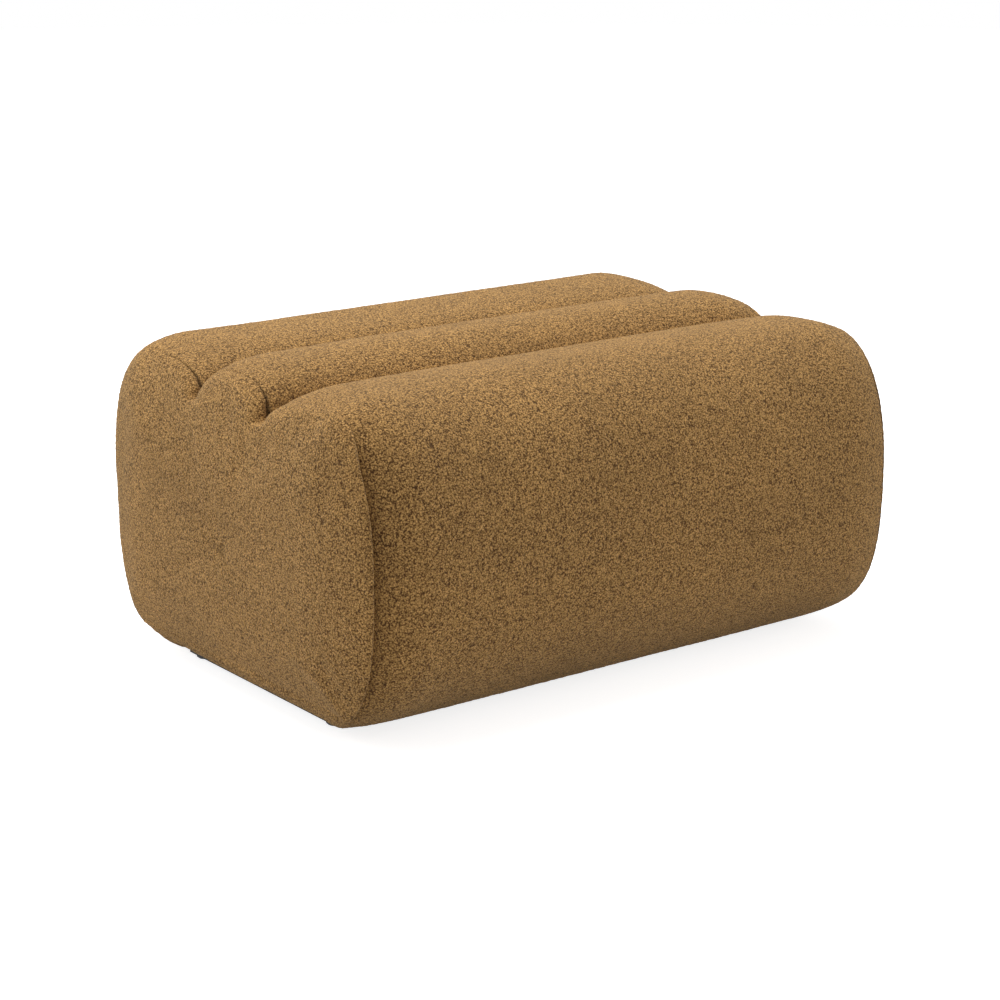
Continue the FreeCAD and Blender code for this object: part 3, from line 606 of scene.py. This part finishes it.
print("materials")
boucle = boucleMaterial()
lining = wovenMaterial("lining", (0.115, 0.10, 0.085), (0.035, 0.03, 0.026), 260.0)
dustCloth = fibreMaterial("dustCloth", (0.035, 0.035, 0.036), (0.012, 0.012, 0.013))
plyLight, plyDark = (0.62, 0.44, 0.26), (0.42, 0.27, 0.14)
battenLight, battenDark = (0.66, 0.47, 0.27), (0.50, 0.31, 0.15)
alongX, alongY = (1.0, 14.0, 14.0), (14.0, 1.0, 14.0)
plyFlat = woodMaterial("plyFlat", plyLight, plyDark, alongX, 2, shelfLow.z)
plyWall = woodMaterial("plyWall", plyLight, plyDark, alongX, 1, wallHalf)
plyEnd = woodMaterial("plyEnd", plyLight, plyDark, alongY, 0, seamX)
batten = woodMaterial("batten", battenLight, battenDark, (1.0, 12.0, 12.0))
battenUp = woodMaterial("battenUp", battenLight, battenDark, (12.0, 12.0, 1.0))
# near-black wood for the plinth rails: painted shade, as dark as the shadow under the body
stained = woodMaterial("stained", (0.022, 0.018, 0.015), (0.009, 0.008, 0.007), (1.0, 12.0, 12.0))
zinc = hardMaterial("zinc", (0.60, 0.60, 0.58), (0.46, 0.47, 0.47), 0.36, 1.0, 180.0)
screwSteel = hardMaterial("screwSteel", (0.62, 0.53, 0.33), (0.48, 0.43, 0.32), 0.34, 1.0, 300.0)
strutPaint = hardMaterial("strutPaint", (0.018, 0.018, 0.019), (0.03, 0.03, 0.032), 0.38, 0.0, 90.0, 0.06)
rodChrome = hardMaterial("rodChrome", (0.78, 0.78, 0.79), (0.70, 0.70, 0.72), 0.14, 1.0, 90.0, 0.03)
glidePlastic = hardMaterial("glidePlastic", (0.028, 0.028, 0.030), (0.05, 0.05, 0.052), 0.55, 0.0, 120.0)
rubber = hardMaterial("rubber", (0.030, 0.030, 0.031), (0.045, 0.045, 0.046), 0.8, 0.0, 200.0)


# Camera, light and floor.

camera = {"place": (-1.9818, -2.6393, 1.1119), "yaw": 36.914, "pitch": 15.650, "lens": 92.56,
          "sensor": 36.0, "farthest": 50.0}
cam = bpy.data.objects.new("camera", bpy.data.cameras.new("camera"))
bpy.context.scene.collection.objects.link(cam)
cam.location = camera["place"]
cam.rotation_euler = (math.radians(90 - camera["pitch"]), 0.0, math.radians(-camera["yaw"]))
cam.data.lens = camera["lens"]
cam.data.sensor_width = camera["sensor"]
cam.data.clip_end = camera["farthest"]
bpy.context.scene.camera = cam
bpy.context.scene.view_settings.view_transform = "Standard"

lampAim = (0.0, 0.0, 0.2)
lamps = [
    {"name": "overhead", "place": (-0.3, 0.5, 3.2), "size": 2.4, "power": 96.0},
    {"name": "left", "place": (-3.1, 1.3, 1.8), "size": 2.0, "power": 34.0},
    {"name": "right", "place": (2.7, -3.0, 1.5), "size": 2.2, "power": 38.0},
    {"name": "rear", "place": (0.6, 3.2, 2.2), "size": 2.6, "power": 22.0},
]
for lamp in lamps:
    data = bpy.data.lights.new(lamp["name"], "AREA")
    data.size = lamp["size"]
    data.energy = lamp["power"]
    obj = bpy.data.objects.new(lamp["name"], data)
    bpy.context.scene.collection.objects.link(obj)
    obj.location = lamp["place"]
    aim = Vector(lampAim) - obj.location
    obj.rotation_euler = aim.to_track_quat("-Z", "Y").to_euler()

skyLight = {"onObject": 0.38, "behind": 1.0}
world = bpy.data.worlds.new("studio")
bpy.context.scene.world = world
world.use_nodes = True
wt = world.node_tree
sky = wt.nodes["Background"]
sky.inputs["Color"].default_value = (1.0, 1.0, 1.0, 1.0)
seen = wt.nodes.new("ShaderNodeLightPath")
direct = mathNode(wt, "MAXIMUM", seen.outputs["Is Camera Ray"], seen.outputs["Is Glossy Ray"])
direct = mathNode(wt, "MAXIMUM", direct.outputs[0], seen.outputs["Is Transmission Ray"])
level = remap(wt, direct.outputs[0], end=(skyLight["onObject"], skyLight["behind"]))
wt.links.new(level.outputs[0], sky.inputs["Strength"])

# The glow makes the paper near white before any light falls on it.
ground = {"radius": 9.0, "segments": 96, "drop": 0.0003, "grey": 0.66, "glow": 0.80}
bm = bmesh.new()
bmesh.ops.create_circle(bm, cap_ends=True, segments=ground["segments"], radius=ground["radius"])
bmesh.ops.translate(bm, verts=bm.verts, vec=(0, 0, -ground["drop"]))
floor = toObject(bm, "floor")
paper = bpy.data.materials.new("paper")
pt = tree(paper)
matt = pt.nodes["Principled BSDF"]
matt.inputs["Base Color"].default_value = (*(ground["grey"],) * 3, 1.0)
matt.inputs["Roughness"].default_value = 0.9
glow = put(pt, "ShaderNodeEmission", Color=(1.0, 1.0, 1.0, 1.0))
looks = pt.nodes.new("ShaderNodeLightPath")
direct = mathNode(pt, "MAXIMUM", looks.outputs["Is Camera Ray"], looks.outputs["Is Glossy Ray"])
direct = mathNode(pt, "MULTIPLY", direct.outputs[0], ground["glow"])
pt.links.new(direct.outputs[0], glow.inputs["Strength"])
both = pt.nodes.new("ShaderNodeAddShader")
pt.links.new(matt.outputs[0], both.inputs[0])
pt.links.new(glow.outputs[0], both.inputs[1])
clearPaper = pt.nodes.new("ShaderNodeBsdfTransparent")   # seen from below, the floor hides nothing
under = pt.nodes.new("ShaderNodeNewGeometry")
sided = pt.nodes.new("ShaderNodeMixShader")
pt.links.new(under.outputs["Backfacing"], sided.inputs[0])
pt.links.new(both.outputs[0], sided.inputs[1])
pt.links.new(clearPaper.outputs[0], sided.inputs[2])
pt.links.new(sided.outputs[0], pt.nodes["Material Output"].inputs["Surface"])
floor.data.materials.append(paper)
print("camera, light and floor")


# The rolls and the lower back.

rollCloth = {"pressure": 3.0, "cap": 0.0035, "stiffness": 25.0, "bending": 3.0}
swell = {"by": 0.0015, "power": 8}           # how much smaller a cover starts than its final size


def upholster(piece, cloth):
    puff(piece, cloth)
    fabricSurface(piece)
    piece.data.materials.clear()
    piece.data.materials.append(boucle)


def rollRows(section, end, share):           # share: how much of the hollow its left end takes
    straight = shape["roundStart"]
    inner = evenly([(0.0, 0.0), (straight, 0.0)], round(straight / shape["step"]))
    count = round((end - straight) / shape["step"] * shape["endDensity"])
    outer = evenly([(straight, 0.0), (end, 0.0)], count)
    right = [p[0] for p in inner] + [p[0] for p in outer[1:]]
    xs = [-x for x in reversed(right[1:])] + right
    plain = section(0.0, shape["floor"])
    counts = countsFor(plain, [shape["step"]] + [shape["hiddenStep"]] * (len(plain) - 1))
    rows = []
    for x in xs:
        small = swell["by"] * (1 - (abs(x) / end) ** swell["power"])
        ridge = rounding(x) * shape["topShare"] + small
        draws = (ridge, rounding(x) + hollow(x) * share + small if x < 0 else ridge)
        top, belly = [[(x, y, z) for y, z in loopOf(section(draw, lowEdge(x)), counts)] for draw in draws]
        rows.append(blended(top, belly))
    return rows, counts[0]


def mirrorLoop(parts):
    return [[(-y, z) for y, z in part] for part in parts]


def frontSection(draw, floor):
    plane = -frontHigh.y
    top = shelfHigh.z + clear
    reach = shelfHigh.y + clear
    wall = wallHalf + clear
    skin = bellyLine(draw, floor) + shoulderLine(draw)[1:] + crownLine(draw, plane)[1:] + [(plane, top)]
    legs = corners((plane, top), (reach, top), (reach, shelfLow.z - clear), (wall, shelfLow.z - clear),
                   (wall, baseUnder - clear), (plinthHalf + clear, baseUnder - clear),
                   (plinthHalf + clear, floor), skin[0])
    return mirrorLoop([skin] + legs)


def rearSection(draw, floor):
    top = shelfHigh.z - shape["tongue"]
    reach = shelfHigh.y + clear
    wall = wallHalf + clear
    skin = bellyLine(draw, floor) + shoulderLine(draw, None, top)[1:]
    legs = corners(skin[-1], (reach, top), (reach, shelfLow.z - clear), (wall, shelfLow.z - clear),
                   (wall, baseUnder - clear), (plinthHalf + clear, baseUnder - clear),
                   (plinthHalf + clear, floor), skin[0])
    return [skin] + legs


def backSection(draw, floor):
    plane = shape["valleyHalf"] + shape["split"]
    top = lidHigh.z + clear
    reach = lidHigh.y + clear
    skin = shoulderLine(draw, lidLow.z + shape["tongue"]) + crownLine(draw, plane)[1:] + [(plane, top)]
    legs = corners((plane, top), (reach, top), (reach, skin[0][1]), skin[0])
    return [skin] + legs


def middleSection(draw, floor):
    front = middleLow.y
    back = shape["valleyHalf"] - shape["split"]
    top = lidHigh.z + clear
    skin = [(front, lidLow.z)] + middleLine(draw, front, back) + [(back, top)]
    edge = lidLow.y - clear
    legs = corners((back, top), (edge, top), (edge, lidLow.z), (front, lidLow.z))
    return [skin] + legs


rolls = [
    {"name": "frontRoll", "section": frontSection, "end": shape["rollEnd"], "share": 1.0,
     "body": "box", "nodes": ["front_cover", "front_roll_foam", "front_belly_foam"]},
    {"name": "lowerBack", "section": rearSection, "end": shape["rollEnd"], "share": shape["rearHollow"],
     "body": "box", "nodes": ["rear_cover", "rear_belly_foam"]},
    {"name": "backRoll", "section": backSection, "end": shape["lidEnd"], "share": shape["rearHollow"],
     "body": "lid", "nodes": ["back_cover", "back_foam"]},
    {"name": "middleRoll", "section": middleSection, "end": shape["lidEnd"], "share": 1.0,
     "body": "lid", "nodes": ["middle_cover", "middle_foam"]},
]
for roll in rolls:
    rows, skinCount = rollRows(roll["section"], roll["end"], roll["share"])
    piece = tube(roll["name"], rows, skinCount, (1, 1))
    upholster(piece, rollCloth)
    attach(piece, roll["body"])
    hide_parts(*roll["nodes"])
    print("roll", roll["name"], len(piece.data.polygons), "faces")


# The end panels.

panel = {
    # x and inward draw of each row beside the belly, and beside the ridges
    "belly": [(0.4054, 0.0345), (0.4061, 0.0275), (0.4080, 0.0225), (0.4107, 0.0203), (0.4134, 0.0211),
              (0.4160, 0.0245), (0.4188, 0.0315), (0.4218, 0.0415), (0.4250, 0.0540), (0.4284, 0.0680),
              (0.4315, 0.0825), (0.4342, 0.0975)],
    "ridge": [(0.3976, 0.0152), (0.3980, 0.0144), (0.4010, 0.0157), (0.4040, 0.0172), (0.4080, 0.0201),
              (0.4120, 0.0238), (0.4160, 0.0288), (0.4210, 0.0375), (0.4260, 0.0485), (0.4310, 0.0632),
              (0.4350, 0.0788), (0.4378, 0.0960)],
    "behind": [(0.4182, 0.0355, 0.4182, 0.0355), (0.4052, 0.0355, 0.3976, 0.0355)],   # round the end board
    # towards the middle: size of the ring, share of the way out to the tip
    "rings": [(0.90, 0.55), (0.78, 0.78), (0.64, 0.90), (0.50, 0.96), (0.36, 0.99), (0.22, 1.0),
              (0.09, 1.0)],
    "centre": 0.200,
    "short": 0.0020,                         # the middle ends this far short of the plain solid
    "notch": 0.0006, "notchWide": 0.014, "notchDeep": 0.052,   # half a valley's floor, as it fades out
    "typicalDraw": 0.02,
    "heldRows": (5, 0),                      # up to the seam
    "cloth": {"pressure": 1.5, "cap": 0.002, "stiffness": 30.0, "bending": 3.0},
}


def outline(draw, floor):
    left = shape["outerTop"] - draw - valleyUnder(draw, shape["outerTop"])
    notch = panel["notch"] + panel["notchWide"] * (1 - min(left / panel["notchDeep"], 1.0))
    plane = shape["valleyHalf"] + notch
    inner = shape["valleyHalf"] - notch
    half = [bellyLine(draw, floor), shoulderLine(draw), crownLine(draw, plane)]
    top = list(reversed(middleLine(draw, -inner, inner)))
    other = [[(-y, z) for y, z in reversed(part)] for part in reversed(half)]
    parts = half + [[half[-1][-1], top[0]], top, [top[-1], other[0][0]]] + other
    return parts + [[other[-1][-1], half[0][0]]]


typical = outline(panel["typicalDraw"], shape["floor"])
panelCounts = countsFor(typical, [shape["step"]] * len(typical))


def panelLoop(bellyX, bellyDraw, topX, topDraw, floor):
    loops = []
    for x, draw in ((topX, topDraw), (bellyX, bellyDraw)):
        loops.append([(x, y, z) for y, z in loopOf(outline(draw, floor), panelCounts)])
    return blended(*loops)


def panelRows(frontShare, rearShare):        # shares of the hollow beside the seam
    rows = [panelLoop(*row, baseUnder - clear) for row in panel["behind"]]
    for (x, draw), ridge in zip(panel["belly"], panel["ridge"]):
        plain = between(x, panel["ridge"])
        front, rear = [panelLoop(x, plain + (draw - plain) * share, *ridge, lowEdge(x))
                       for share in (frontShare, rearShare)]
        rows.append([tuple(p + (q - p) * backWeight(a[1]) for p, q in zip(a, b))
                     for a, b in zip(front, rear)])
    last = rows[-1]
    lastX = panel["belly"][-1][0]
    for scale, share in panel["rings"]:
        x = lastX + (tipX - panel["short"] - lastX) * share
        rows.append([(x, y * scale, panel["centre"] + (z - panel["centre"]) * scale) for _, y, z in last])
    return rows


for side, sign in (("left", -1), ("right", 1)):
    # only the left end has the hollow beside its seam
    rows = panelRows(1.0, shape["rearHollow"]) if side == "left" else panelRows(0.0, 0.0)
    rows = [[(sign * x, y, z) for x, y, z in row] for row in rows]
    piece = tube(side + "Panel", rows, len(rows[0]), panel["heldRows"])
    upholster(piece, panel["cloth"])
    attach(piece, "box")
    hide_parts(side + "_end_cover", side + "_end_foam")
    print("panel", side, len(piece.data.polygons), "faces")


# Finishes of the pieces that stay as they are.

finishes = {
    "boucle": boucle, "lining": lining, "dust_cloth": dustCloth, "plywood": plyFlat, "batten_wood": batten,
    "zinc_steel": zinc, "screw_steel": screwSteel, "strut_paint": strutPaint, "rod_chrome": rodChrome,
    "glide_plastic": glidePlastic, "bumper_rubber": rubber,
}
special = {"front_wall": plyWall, "rear_wall": plyWall, "left_end_board": plyEnd, "right_end_board": plyEnd}
slots = {s["node"]: s["material_slot"] for s in frame["record"]["subparts"]}
for name, obj in nodes.items():
    if obj.hide_render:
        continue
    material = special.get(name) or finishes[slots[name]]
    if name.endswith("corner_block"):
        material = battenUp
    # the plinth rails, under the body, get the near-black wood as painted shade
    if name.startswith("plinth"):
        material = stained
    obj.data.materials.clear()
    obj.data.materials.append(material)
print("finishes on", len(nodes), "nodes")
